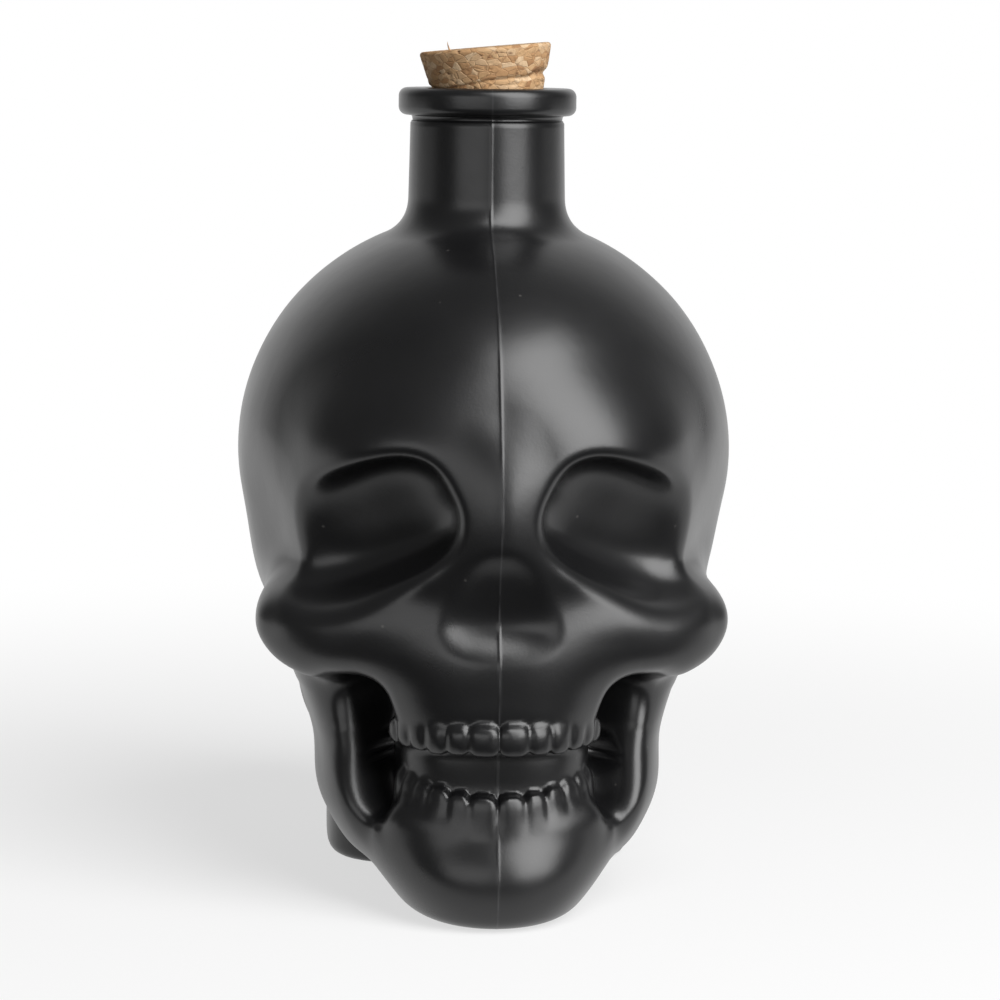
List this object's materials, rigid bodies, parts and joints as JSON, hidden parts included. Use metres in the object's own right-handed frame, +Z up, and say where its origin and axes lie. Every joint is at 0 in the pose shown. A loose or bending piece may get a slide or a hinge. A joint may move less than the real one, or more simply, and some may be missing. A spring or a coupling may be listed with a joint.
{
  "type": "skull-shaped poison bottle",
  "caption": "Skull-shaped blown glass bottle sprayed satin black, with a round beaded neck closed by a tapered cork that lifts out.",
  "frame": {"origin": "on the floor under the neck's axis, in the plane of the flat foot", "axes": "+Z up along the neck's axis, -Y the way the skull's face looks, X across the face with the mould seam at X = 0"},
  "size_m": [0.1082, 0.1358, 0.182],
  "materials": {
    "black_glass": "satin",
    "cork": "matte"
  },
  "bodies": {
    "bottle": {"glass_bottle": "black_glass"},
    "cork": {"cork_stopper": "cork"}
  },
  "joints": [
    {"name": "cork_lift", "type": "slide", "parent": "bottle", "child": "cork", "axis": [0, 0, 1], "range_m": [0, 0.06]}
  ]
}
